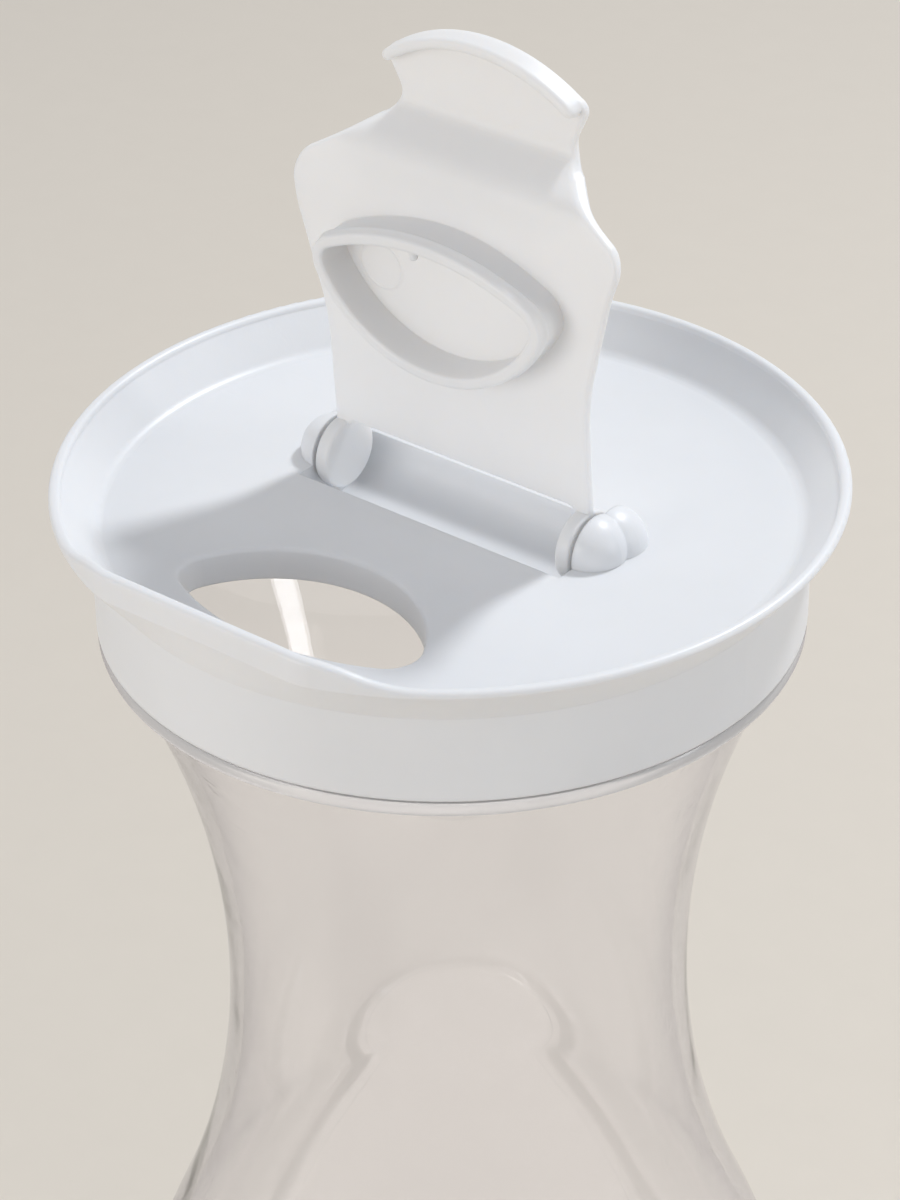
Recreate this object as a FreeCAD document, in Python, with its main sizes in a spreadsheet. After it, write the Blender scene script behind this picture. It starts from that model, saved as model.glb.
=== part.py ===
import FreeCAD, Part
import math
import os
from FreeCAD import Placement, Rotation, Vector
import Sketcher

# Clear drink carafe with a white flip-top lid. Millimetres, +Z up, pouring towards -Y.
# The origin is the centre of the base. Lid and flap are drawn in frames of their own:
# the lid's has its origin on the axis in the plane of the rim, the flap's on the hinge
# axis with the flap closed.

document = FreeCAD.newDocument("carafe_with_flip_lid")

# Driving dimensions: one row each, with what it measures.
SIZES = [
    ("body_radius", 57.5, "carafe, outside, at its widest"),
    ("widest_height", 51, "height of the widest place"),
    ("foot_step", 2, "foot inside the widest place, just above the foot corner"),
    ("foot_corner", 5, "radius of the foot corner"),
    ("base_thickness", 3, "plastic under the drink"),
    ("base_recess", 3, "how far the middle of the base is pushed up"),
    ("base_recess_radius", 40, "flat middle of the base"),
    ("base_recess_slope", 4, "width of the slope round it"),
    ("neck_radius", 32.1, "carafe, outside, at its narrowest"),
    ("neck_depth", 69.3, "narrowest place below the mouth's edge"),
    ("neck_curve", 125, "radius of the hourglass curve"),
    ("carafe_wall", 2, "wall of the carafe"),
    ("carafe_height", 244.3, "height of the mouth's edge"),
    ("mouth_round", 0.7, "rounding of the mouth's edge"),
    ("ledge_width", 2.0, "ledge under the skirt, beyond the mouth"),
    ("ledge_height", 2.2, "height of the ledge"),
    ("seat_gap", 0.3, "free height between lid and carafe"),
    ("skirt_gap", 0.3, "free width between skirt and mouth"),
    ("seal_gap", 0.3, "free width between seal ring and mouth"),
    ("skirt_radius", 47, "lid skirt, outside"),
    ("skirt_wall", 1.8, "wall of the skirt"),
    ("skirt_depth", 19.2, "skirt's lower edge below the rim"),
    ("flare_depth", 7, "where the flare leaves the skirt, below the rim"),
    ("flare_top_depth", 0.8, "upright band at the rim, where flare and dish wall end"),
    ("rim_radius", 52, "lid rim, outside"),
    ("rim_wall", 1.6, "thickness of the rim"),
    ("floor_depth", 5.8, "dish floor below the rim"),
    ("floor_radius", 46.2, "dish floor, to the foot of its wall"),
    ("floor_thickness", 1.6, "plate of the dish floor"),
    ("floor_round", 2.0, "rounding between floor and wall"),
    ("rim_round", 0.7, "rounding of the rim's edges"),
    ("spout_reach", 49.5, "flat outer face of the spout, from the axis"),
    ("spout_rise", 3.0, "spout lip above the rim"),
    ("spout_corner", 8, "rounding where the spout's flat face meets the round rim"),
    ("spout_run", 15.4, "length in which the lip falls to the rim"),
    ("seal_wall", 1.3, "wall of the seal ring under the floor"),
    ("seal_depth", 5, "height of the seal ring"),
    ("hole_y", -30, "middle of the pour hole"),
    ("hole_half_width", 18.7, "half the length of the pour hole, along X"),
    ("hole_back", 12.6, "reach of the pour hole towards the hinge"),
    ("hole_front", 8.35, "reach of the pour hole towards the spout"),
    ("hole_back_curve", 20.5, "radius of its side at the hinge"),
    ("hole_corner", 4.5, "radius of its ends"),
    ("hole_round", 0.6, "rounding of its upper edge"),
    ("collar_wall", 1.4, "wall of the collar under the hole"),
    ("collar_depth", 4.6, "lower edge of the collar, below the floor's face"),
    ("hinge_y", 2.3, "hinge axis behind the middle"),
    ("hinge_depth", 5.0, "hinge axis below the rim"),
    ("trough_radius", 7.4, "hinge trough, about the hinge axis"),
    ("trough_wall", 1.5, "wall of the trough"),
    ("trough_half_length", 21.5, "half the length of the trough"),
    ("pin_radius", 1.5, "hinge pins"),
    ("pin_gap", 0.25, "free radius round a pin"),
    ("pin_reach", 24.6, "end of a pin, from the middle"),
    ("pin_end_gap", 0.5, "free length past a pin's end"),
    ("boss_radius", 4.7, "hinge boss, about the pin"),
    ("boss_x", 21.3, "middle of both domes of a boss, from the middle of the lid"),
    ("dome_radius", 5.0, "rear dome of a hinge boss"),
    ("dome_back", 3.7, "middle of the rear dome behind the hinge axis"),
    ("plate_thickness", 1.4, "flap plate"),
    ("plate_half_width", 20.9, "half the width of the plate at the hinge"),
    ("notch_half_width", 18.9, "half the width of the notch between the hinge arms"),
    ("notch_reach", 5.2, "edge of the notch, from the hinge axis"),
    ("notch_corner", 1.5, "rounding of the notch's corners"),
    ("disc_radius", 6.6, "round end of a hinge arm"),
    ("side_reach", 17, "end of the plate's straight side"),
    ("side_curve", 34.3, "radius in which the side turns outwards"),
    ("side_turn", 15.2, "angle through which the side turns outwards"),
    ("shoulder_reach", 39.2, "start of the shoulders, from the hinge axis"),
    ("shoulder_flare", 4.5, "shoulders wider than the plate at the hinge, each side"),
    ("shoulder_curve", 3.9, "radius of the shoulders"),
    ("shoulder_length", 4.5, "length of the shoulders"),
    ("shoulder_step", 1.4, "how far the shoulders come in"),
    ("slant_length", 4.8, "length of the slanted edge, along the flap"),
    ("slant_step", 8.1, "how far the slanted edge comes in"),
    ("waist_curve", 3.2, "radius of the thumb tab's waist"),
    ("waist_length", 4.5, "length of the waist"),
    ("waist_step", 1.95, "how far the waist comes in"),
    ("tab_side_length", 2.9, "length of the tab's side"),
    ("tab_flare", 1.45, "tab wider than its waist, each side"),
    ("tab_corner", 1.8, "radius of the tab's corners"),
    ("tab_corner_length", 2.1, "length of a tab corner"),
    ("tab_corner_step", 1.1, "how far a tab corner comes in"),
    ("tab_bulge", 4.5, "height of the tab's curved end"),
    ("lift_start", 38, "where the plate starts to rise"),
    ("lift_length", 8.9, "length of the gentle lift"),
    ("riser_length", 3.4, "length of the riser"),
    ("foot_rise", 3.2, "underside at the riser's foot above the plate's"),
    ("riser_rise", 6.0, "underside of the tab above the riser's foot"),
    ("lift_round", 14, "inner radius of the bend where the plate starts to rise"),
    ("foot_round", 4, "inner radius of the bend at the riser's foot"),
    ("head_round", 2.4, "inner radius of the bend at the riser's head"),
    ("ridge_width", 1.6, "lip ridge under the tab's end"),
    ("ridge_depth", 2.6, "height of the lip ridge"),
    ("ring_gap", 0.5, "free width between plug ring and hole"),
    ("ring_wall", 1.6, "wall of the plug ring"),
    ("ring_height", 5.2, "height of the plug ring"),
    ("ring_root", 1.2, "how far the ring's wall reaches into the plate"),
    ("bead_width", 0.15, "bead round the plug ring"),
    ("bead_height", 0.8, "height of the bead"),
    ("bead_rise", 1.2, "bead above the ring's lip"),
    ("open_angle", 86.5, "flap as drawn, opened from the closed pose"),
    ("overcut", 5, "how far a cutting shape passes what it trims"),
]

# Values that follow from the driving dimensions.
DERIVED = [
    ("foot_radius", "sizes.body_radius - sizes.foot_step"),
    # tangent circles of neck and shoulder
    ("neck_height", "sizes.carafe_height - sizes.neck_depth"),
    ("neck_centre", "sizes.neck_radius + sizes.neck_curve"),
    ("neck_offset", "neck_centre - sizes.body_radius"),
    ("neck_drop", "neck_height - sizes.widest_height"),
    ("shoulder_curve", "(neck_offset^2 + neck_drop^2 - sizes.neck_curve^2)"
                       " / (2 * (sizes.neck_curve - neck_offset))"),
    ("turn_share", "sizes.neck_curve / (sizes.neck_curve + shoulder_curve)"),
    ("turn_radius", "neck_centre - turn_share * (neck_offset + shoulder_curve)"),
    ("turn_height", "neck_height - turn_share * neck_drop"),
    ("inner_turn_share", "(sizes.neck_curve + sizes.carafe_wall) / (sizes.neck_curve + shoulder_curve)"),
    ("inner_turn_radius", "neck_centre - inner_turn_share * (neck_offset + shoulder_curve)"),
    ("inner_turn_height", "neck_height - inner_turn_share * neck_drop"),
    ("lower_curve", "((sizes.widest_height - sizes.foot_corner)^2"
                    " + sizes.foot_step^2) / (2 * sizes.foot_step)"),
    ("inner_corner", "sizes.foot_corner - sizes.carafe_wall"),
    ("inner_floor", "sizes.base_thickness + inner_corner"),
    ("inner_lower_curve", "((sizes.widest_height - inner_floor)^2"
                          " + sizes.foot_step^2) / (2 * sizes.foot_step)"),
    # mouth, ledge and the lid's place on them
    ("finish_radius", "sizes.skirt_radius - sizes.skirt_wall - sizes.skirt_gap"),
    ("bore_radius", "finish_radius - sizes.carafe_wall"),
    ("lid_top", "sizes.carafe_height + sizes.seat_gap + sizes.floor_thickness + sizes.floor_depth"),
    ("ledge_top", "lid_top - sizes.skirt_depth - sizes.seat_gap"),
    ("ledge_bottom", "ledge_top - sizes.ledge_height"),
    ("ledge_radius", "finish_radius + sizes.ledge_width"),
    ("flare_start_radius", "neck_centre"
                           " - sqrt(sizes.neck_curve^2 - (ledge_bottom - neck_height)^2)"),
    ("bore_end", "neck_height + sqrt((sizes.neck_curve + sizes.carafe_wall)^2"
                 " - (neck_centre - bore_radius)^2)"),
    # rim outline, cut flat at the spout
    ("corner_reach", "sizes.spout_reach - sizes.spout_corner"),
    ("corner_distance", "sizes.rim_radius - sizes.spout_corner"),
    ("corner_x", "sqrt(corner_distance^2 - corner_reach^2)"),
    ("chord_share", "1 / sqrt(corner_x^2 + sizes.spout_reach^2)"),
    ("floor_underside", "sizes.floor_depth + sizes.floor_thickness"),
    # oval pour hole: end circles, back arc and front arc touch one another
    ("end_x", "sizes.hole_half_width - sizes.hole_corner"),
    ("end_y", "sqrt((sizes.hole_back_curve - sizes.hole_corner)^2 - end_x^2)"
              " - sizes.hole_back_curve + sizes.hole_back"),
    ("front_step", "sizes.hole_front + end_y"),
    ("hole_front_curve", "(end_x^2 + front_step^2 - sizes.hole_corner^2)"
                         " / (2 * (front_step - sizes.hole_corner))"),
    ("back_sine", "end_x / (sizes.hole_back_curve - sizes.hole_corner)"),
    ("back_cosine", "sqrt(1 - back_sine^2)"),
    ("front_sine", "end_x / (hole_front_curve - sizes.hole_corner)"),
    ("front_cosine", "sqrt(1 - front_sine^2)"),
    # flap: places along it, from the hinge axis
    ("turn_end_reach", "sizes.side_reach + sizes.side_curve * sin(sizes.side_turn)"),
    ("shoulder_end_reach", "sizes.shoulder_reach + sizes.shoulder_length"),
    ("slant_reach", "shoulder_end_reach + sizes.slant_length"),
    ("waist_reach", "slant_reach + sizes.waist_length"),
    ("tab_side_reach", "waist_reach + sizes.tab_side_length"),
    ("tab_end_reach", "tab_side_reach + sizes.tab_corner_length"),
    ("tab_reach", "tab_end_reach + sizes.tab_bulge"),
    ("shoulder_half_width", "sizes.plate_half_width + sizes.shoulder_flare"),
    ("shoulder_end_half_width", "shoulder_half_width - sizes.shoulder_step"),
    ("slant_half_width", "shoulder_end_half_width - sizes.slant_step"),
    ("waist_half_width", "slant_half_width - sizes.waist_step"),
    ("tab_half_width", "waist_half_width + sizes.tab_flare"),
    ("tab_end_half_width", "tab_half_width - sizes.tab_corner_step"),
    ("riser_start", "sizes.lift_start + sizes.lift_length"),
    ("riser_end", "riser_start + sizes.riser_length"),
    ("tab_rise", "sizes.foot_rise + sizes.riser_rise"),
    ("hinge_height", "lid_top - sizes.hinge_depth"),
    ("hole_reach", "sizes.hinge_y - sizes.hole_y"),
    ("side_end_x", "sizes.plate_half_width + sizes.side_curve * (1 - cos(sizes.side_turn))"),
    ("tab_end_curve", "(tab_end_half_width^2 + sizes.tab_bulge^2) / (2 * sizes.tab_bulge)"),
    ("tab_end_centre", "tab_end_curve - tab_reach"),
    ("lift_angle", "atan(sizes.foot_rise / sizes.lift_length)"),
    ("riser_angle", "atan(sizes.riser_rise / sizes.riser_length)"),
    ("lift_miter", "sizes.plate_thickness * tan(lift_angle / 2)"),
    ("foot_miter", "sizes.plate_thickness / cos((riser_angle - lift_angle) / 2)"),
    ("foot_miter_y", "foot_miter * sin((riser_angle + lift_angle) / 2)"),
    ("foot_miter_z", "foot_miter * cos((riser_angle + lift_angle) / 2)"),
    ("head_miter", "sizes.plate_thickness * tan(riser_angle / 2)"),
]


def add_sheet(name, rows, formulas):
    sheet = document.addObject("Spreadsheet::Sheet", name)
    for number, row in enumerate(rows, start=1):
        sheet.set("A%d" % number, row[0])
        sheet.set("B%d" % number, "=" + row[1] if formulas else str(row[1]))
        sheet.setAlias("B%d" % number, row[0])
        if len(row) > 2:
            sheet.set("C%d" % number, row[2])
    document.recompute()
    return sheet


sizes = add_sheet("sizes", SIZES, False)
derived = add_sheet("derived", DERIVED, True)


def value(expression):
    return float(sizes.evalExpression(str(expression)))


def new_body(name):
    body = document.addObject("PartDesign::Body", name)
    body.Label = name
    return body


def new_sketch(body, name, role, height=None):
    plane = next(item for item in body.Origin.OriginFeatures if item.Role == role)
    sketch = body.newObject("Sketcher::SketchObject", name)
    sketch.AttachmentSupport = (plane, [""])
    sketch.MapMode = "FlatFace"
    if height is not None:
        sketch.setExpression("AttachmentOffset.Base.z", str(height))
    return sketch


def bind(sketch, kind, *arguments):
    """A constraint whose last argument is an expression on the sheets."""
    number = sketch.addConstraint(Sketcher.Constraint(kind, *arguments[:-1], value(arguments[-1])))
    sketch.setExpression("Constraints[%d]" % number, str(arguments[-1]))


def pin_point(sketch, edge, end, x, y):
    for kind, place, axis in (("DistanceX", x, -2), ("DistanceY", y, -1)):
        if abs(value(place)) < 1e-9:
            sketch.addConstraint(Sketcher.Constraint("PointOnObject", edge, end, axis))
        else:
            bind(sketch, kind, -1, 1, edge, end, place)


def draw_outline(sketch, corners):
    """Closed loop of corners (x, y) or (x, y, radius, side). With a radius, the edge that
    leaves the corner is an arc, its centre on the left (1) or the right (-1) of the way."""
    points = [Vector(value(corner[0]), value(corner[1]), 0) for corner in corners]
    edges = []
    for corner, start, stop in zip(corners, points, points[1:] + points[:1]):
        if len(corner) == 2:
            edge = sketch.addGeometry(Part.LineSegment(start, stop), False)
            edges.append((edge, 1, 2))
            continue
        radius, side = value(corner[2]), corner[3]
        way = (stop - start).normalize()
        left = Vector(-way.y, way.x, 0) * side
        half = (stop - start).Length / 2
        centre = (start + stop) / 2 + left * math.sqrt(max(radius**2 - half**2, 0))
        first, last = (start, stop) if side > 0 else (stop, start)
        angles = [math.atan2(point.y - centre.y, point.x - centre.x) for point in (first, last)]
        circle = Part.Circle(centre, Vector(0, 0, 1), radius)
        edge = sketch.addGeometry(Part.ArcOfCircle(circle, *angles), False)
        edges.append((edge, 1, 2) if side > 0 else (edge, 2, 1))
    for number, (edge, start, stop) in enumerate(edges):
        following, following_start, _ = edges[(number + 1) % len(edges)]
        sketch.addConstraint(
            Sketcher.Constraint("Coincident", edge, stop, following, following_start))
    for corner, (edge, start, _) in zip(corners, edges):
        pin_point(sketch, edge, start, corner[0], corner[1])
        if len(corner) > 2:
            bind(sketch, "Radius", edge, corner[2])


def mirrored(right):
    """Closed outline from its right half, which runs down from the top."""
    edges = [corner[2:] for corner in right]
    left = [("-(%s)" % corner[0], corner[1]) + edges[number - 1] * (number > 0)
            for number, corner in enumerate(right)]
    return right + left[::-1]


def draw_circle(sketch, x, y, radius):
    centre = Vector(value(x), value(y), 0)
    edge = sketch.addGeometry(Part.Circle(centre, Vector(0, 0, 1), value(radius)), False)
    pin_point(sketch, edge, 3, x, y)
    bind(sketch, "Radius", edge, radius)


def draw_box(sketch, left, right, bottom, top):
    draw_outline(sketch, [(left, bottom), (right, bottom), (right, top), (left, top)])


def extrude(body, kind, sketch, length, reversed_way=False, symmetric=False):
    feature = body.newObject("PartDesign::" + kind, sketch.Name + "_" + kind.lower())
    feature.Profile = sketch
    feature.setExpression("Length", str(length))
    feature.Reversed = reversed_way
    feature.SideType = "Symmetric" if symmetric else "One side"
    sketch.Visibility = False
    document.recompute()
    return feature


def loft(body, kind, first, second):
    feature = body.newObject("PartDesign::" + kind, first.Name + "_loft")
    feature.Profile = first
    feature.Sections = [second]
    feature.Ruled = True
    document.recompute()
    return feature


def round_edges(body, name, radius, wanted):
    """Fillet of the edges for which wanted(edge) holds."""
    tip = body.Tip
    names = ["Edge%d" % number for number, edge in enumerate(tip.Shape.Edges, start=1)
             if wanted(edge)]
    feature = body.newObject("PartDesign::Fillet", name)
    feature.Base = (tip, names)
    feature.setExpression("Radius", radius)
    document.recompute()
    return feature


def heights(edge):
    box = edge.BoundBox
    return box.ZMin, box.ZMax


def level(edge, height):
    return all(abs(z - height) < 0.01 for z in heights(edge))


def rim_outline(sketch, grow):
    """The rim's outline, grown by grow: a circle with a flat, round-cornered front."""
    radius = "(sizes.rim_radius + (%s))" % grow
    corner = "(sizes.spout_corner + (%s))" % grow
    turn_x = "derived.corner_x / derived.corner_distance * " + radius
    turn_y = "-derived.corner_reach / derived.corner_distance * " + radius
    front = "-sizes.spout_reach - (%s)" % grow
    draw_outline(sketch, [
        (turn_x, turn_y, radius, 1),
        (0, radius, radius, 1),
        ("-" + turn_x, turn_y, corner, 1),
        ("-derived.corner_x", front),
        ("derived.corner_x", front, corner, 1),
    ])


def round_outline(sketch, radius):
    """Circle in arcs that face those of the rim's outline."""
    turn_x = "derived.corner_x / derived.corner_distance * " + radius
    turn_y = "-derived.corner_reach / derived.corner_distance * " + radius
    front_x = "derived.corner_x * derived.chord_share * " + radius
    front_y = "-sizes.spout_reach * derived.chord_share * " + radius
    draw_outline(sketch, [
        (turn_x, turn_y, radius, 1),
        (0, radius, radius, 1),
        ("-" + turn_x, turn_y, radius, 1),
        ("-" + front_x, front_y, radius, 1),
        (front_x, front_y, radius, 1),
    ])


def oval_outline(sketch, grow, middle):
    """Outline of the pour hole, grown by grow, with its middle at y = middle."""
    corner = "(sizes.hole_corner + (%s))" % grow
    back = "(sizes.hole_back_curve + (%s))" % grow
    front = "(derived.hole_front_curve + (%s))" % grow
    back_x = "(derived.end_x + %s * derived.back_sine)" % corner
    back_y = "%s + derived.end_y + %s * derived.back_cosine" % (middle, corner)
    front_x = "(derived.end_x + %s * derived.front_sine)" % corner
    front_y = "%s + derived.end_y - %s * derived.front_cosine" % (middle, corner)
    draw_outline(sketch, [
        ("-" + back_x, back_y, corner, 1),
        ("-" + front_x, front_y, front, 1),
        (front_x, front_y, corner, 1),
        (back_x, back_y, back, 1),
    ])


def make_carafe():
    body = new_body("carafe")
    profile = new_sketch(body, "carafe_profile", "XZ_Plane")
    draw_outline(profile, [
        (0, "sizes.base_recess"),
        ("sizes.base_recess_radius", "sizes.base_recess"),
        ("sizes.base_recess_radius + sizes.base_recess_slope", 0),
        ("derived.foot_radius - sizes.foot_corner", 0, "sizes.foot_corner", 1),
        ("derived.foot_radius", "sizes.foot_corner", "derived.lower_curve", 1),
        ("sizes.body_radius", "sizes.widest_height", "derived.shoulder_curve", 1),
        ("derived.turn_radius", "derived.turn_height", "sizes.neck_curve", -1),
        ("derived.flare_start_radius", "derived.ledge_bottom"),
        ("derived.ledge_radius", "derived.ledge_bottom"),
        ("derived.ledge_radius", "derived.ledge_top"),
        ("derived.finish_radius", "derived.ledge_top"),
        ("derived.finish_radius", "sizes.carafe_height"),
        ("derived.bore_radius", "sizes.carafe_height"),
        ("derived.bore_radius", "derived.bore_end", "sizes.neck_curve + sizes.carafe_wall", 1),
        ("derived.inner_turn_radius", "derived.inner_turn_height",
         "derived.shoulder_curve - sizes.carafe_wall", -1),
        ("sizes.body_radius - sizes.carafe_wall", "sizes.widest_height",
         "derived.inner_lower_curve", -1),
        ("derived.foot_radius - sizes.carafe_wall", "derived.inner_floor",
         "derived.inner_corner", -1),
        ("derived.foot_radius - sizes.foot_corner", "sizes.base_thickness"),
        ("sizes.base_recess_radius + sizes.base_recess_slope", "sizes.base_thickness"),
        ("sizes.base_recess_radius", "sizes.base_thickness + sizes.base_recess"),
        (0, "sizes.base_thickness + sizes.base_recess"),
    ])
    shell = body.newObject("PartDesign::Revolution", "carafe_shell")
    shell.Profile = profile
    shell.ReferenceAxis = (profile, ["V_Axis"])
    shell.Angle = 360
    document.recompute()
    top, ledge = value("sizes.carafe_height"), value("derived.ledge_top")
    ledge_edge = value("derived.ledge_radius")
    round_edges(body, "mouth_edges", "sizes.mouth_round",
                lambda edge: level(edge, top) or (edge.BoundBox.XMax > ledge_edge - 0.01 and (
                    level(edge, ledge) or level(edge, value("derived.ledge_bottom")))))
    return body


def make_lid():
    body = new_body("lid")
    skirt = new_sketch(body, "skirt", "XY_Plane", "-sizes.skirt_depth")
    draw_circle(skirt, 0, 0, "sizes.skirt_radius")
    extrude(body, "Pad", skirt, "sizes.skirt_depth - sizes.flare_depth")
    flare_foot = new_sketch(body, "flare_foot", "XY_Plane", "-sizes.flare_depth")
    round_outline(flare_foot, "sizes.skirt_radius")
    flare_head = new_sketch(body, "flare_head", "XY_Plane", "-sizes.flare_top_depth")
    rim_outline(flare_head, "0")
    loft(body, "AdditiveLoft", flare_foot, flare_head)
    lip = new_sketch(body, "lip", "XY_Plane", "-sizes.flare_top_depth")
    rim_outline(lip, "0")
    extrude(body, "Pad", lip, "sizes.flare_top_depth + sizes.spout_rise")

    # dish
    dish_floor = new_sketch(body, "dish_floor", "XY_Plane", "-sizes.floor_depth")
    round_outline(dish_floor, "sizes.floor_radius")
    dish_mouth = new_sketch(body, "dish_mouth", "XY_Plane", "-sizes.flare_top_depth")
    rim_outline(dish_mouth, "-sizes.rim_wall")
    loft(body, "SubtractiveLoft", dish_floor, dish_mouth)
    lip_bore = new_sketch(body, "lip_bore", "XY_Plane", "-sizes.flare_top_depth")
    rim_outline(lip_bore, "-sizes.rim_wall")
    extrude(body, "Pocket", lip_bore, "sizes.flare_top_depth + sizes.spout_rise + sizes.overcut",
            reversed_way=True)

    # rim height: level all round, raised at the spout
    clear = "(sizes.rim_radius + sizes.overcut)"
    run_end = "(derived.corner_x + sizes.spout_run)"
    run_curve = "((sizes.spout_run / 2)^2 + (sizes.spout_rise / 2)^2) / sizes.spout_rise"
    run_middle = "(derived.corner_x + sizes.spout_run / 2)"
    above_spout = new_sketch(body, "above_spout", "XZ_Plane")
    draw_outline(above_spout, [
        ("-" + clear, 0),
        ("-" + run_end, 0, run_curve, 1),
        ("-" + run_middle, "sizes.spout_rise / 2", run_curve, -1),
        ("-derived.corner_x", "sizes.spout_rise"),
        ("derived.corner_x", "sizes.spout_rise", run_curve, -1),
        (run_middle, "sizes.spout_rise / 2", run_curve, 1),
        (run_end, 0),
        (clear, 0),
        (clear, "sizes.spout_rise + sizes.overcut"),
        ("-" + clear, "sizes.spout_rise + sizes.overcut"),
    ])
    extrude(body, "Pocket", above_spout, clear, reversed_way=True)
    above_back = new_sketch(body, "above_back", "XZ_Plane")
    draw_box(above_back, "-" + clear, clear, 0, "sizes.spout_rise + sizes.overcut")
    extrude(body, "Pocket", above_back, clear)

    # room for the carafe's mouth, and the ring that seals it
    mouth_room = new_sketch(body, "mouth_room", "XY_Plane", "-sizes.skirt_depth")
    draw_circle(mouth_room, 0, 0, "sizes.skirt_radius - sizes.skirt_wall")
    extrude(body, "Pocket", mouth_room, "sizes.skirt_depth - derived.floor_underside",
            reversed_way=True)
    seal = new_sketch(body, "seal", "XY_Plane", "-derived.floor_underside")
    draw_circle(seal, 0, 0, "derived.bore_radius - sizes.seal_gap")
    draw_circle(seal, 0, 0, "derived.bore_radius - sizes.seal_gap - sizes.seal_wall")
    extrude(body, "Pad", seal, "sizes.seal_depth", reversed_way=True)

    # pour hole with its collar
    collar = new_sketch(body, "collar", "XY_Plane", "-sizes.floor_depth - sizes.collar_depth")
    oval_outline(collar, "sizes.collar_wall", "sizes.hole_y")
    extrude(body, "Pad", collar, "sizes.collar_depth - sizes.floor_thickness / 2")
    hole = new_sketch(body, "hole", "XY_Plane", "-sizes.floor_depth - sizes.collar_depth")
    oval_outline(hole, "0", "sizes.hole_y")
    extrude(body, "Pocket", hole, "sizes.collar_depth + sizes.overcut", reversed_way=True)

    # hinge trough
    outer = "(sizes.trough_radius + sizes.trough_wall)"
    below = "(sizes.floor_depth - sizes.hinge_depth)"
    chord = "sqrt(%s^2 - %s^2)" % (outer, below)
    shell = new_sketch(body, "trough_shell", "YZ_Plane")
    draw_outline(shell, [
        ("sizes.hinge_y - " + chord, "-sizes.floor_depth", outer, 1),
        ("sizes.hinge_y", "-sizes.hinge_depth - " + outer, outer, 1),
        ("sizes.hinge_y + " + chord, "-sizes.floor_depth"),
    ])
    extrude(body, "Pad", shell, "2 * (sizes.trough_half_length + sizes.trough_wall)", symmetric=True)

    # hinge bosses: a dome about the pin and one behind it
    for name, x_sign in (("left", -1), ("right", 1)):
        for dome, radius, y, z in (
            ("boss", "sizes.boss_radius", "0", "-sizes.hinge_depth"),
            ("dome", "sizes.dome_radius", "sizes.dome_back", "-sizes.floor_depth"),
        ):
            ball = body.newObject("PartDesign::AdditiveSphere", "%s_%s" % (name, dome))
            ball.setExpression("Radius", radius)
            ball.setExpression("Placement.Base.x", "%d * sizes.boss_x" % x_sign)
            ball.setExpression("Placement.Base.y", "sizes.hinge_y + " + y)
            ball.setExpression("Placement.Base.z", z)
            document.recompute()

    # free space between the bosses, in the trough and round the pins
    arm_room = new_sketch(body, "arm_room", "XY_Plane", "-sizes.floor_depth")
    draw_box(arm_room, "-sizes.trough_half_length", "sizes.trough_half_length",
             "sizes.hinge_y - sizes.boss_radius - sizes.overcut",
             "sizes.hinge_y + sizes.dome_back + sizes.dome_radius + sizes.overcut")
    extrude(body, "Pocket", arm_room, "sizes.floor_depth + sizes.dome_radius",
            reversed_way=True)
    bed = new_sketch(body, "trough_bed", "YZ_Plane")
    draw_circle(bed, "sizes.hinge_y", "-sizes.hinge_depth", "sizes.trough_radius")
    extrude(body, "Pocket", bed, "2 * sizes.trough_half_length", symmetric=True)
    sockets = new_sketch(body, "pin_sockets", "YZ_Plane")
    draw_circle(sockets, "sizes.hinge_y", "-sizes.hinge_depth", "sizes.pin_radius + sizes.pin_gap")
    extrude(body, "Pocket", sockets, "2 * (sizes.pin_reach + sizes.pin_end_gap)", symmetric=True)

    # rounded edges
    floor, rise = value("-sizes.floor_depth"), value("sizes.spout_rise")
    dish, rim = value("sizes.floor_radius"), value("sizes.spout_reach - sizes.rim_wall")

    def reach(edge):
        return max(math.hypot(vertex.X, vertex.Y) for vertex in edge.Vertexes)

    round_edges(body, "floor_edge", "sizes.floor_round",
                lambda edge: level(edge, floor) and abs(reach(edge) - dish) < 0.01)
    round_edges(body, "rim_edges", "sizes.rim_round",
                lambda edge: heights(edge)[0] > -0.01 and heights(edge)[1] <= rise + 0.01
                and reach(edge) > rim - 0.01 and not edge.BoundBox.XLength < 0.1)
    round_edges(body, "hole_edge", "sizes.hole_round",
                lambda edge: level(edge, floor) and edge.BoundBox.YMax < value(
                    "sizes.hole_y + sizes.hole_back + 0.01") and reach(edge) < dish - 1)
    body.setExpression("Placement.Base.z", "derived.lid_top")
    document.recompute()
    return body


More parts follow.
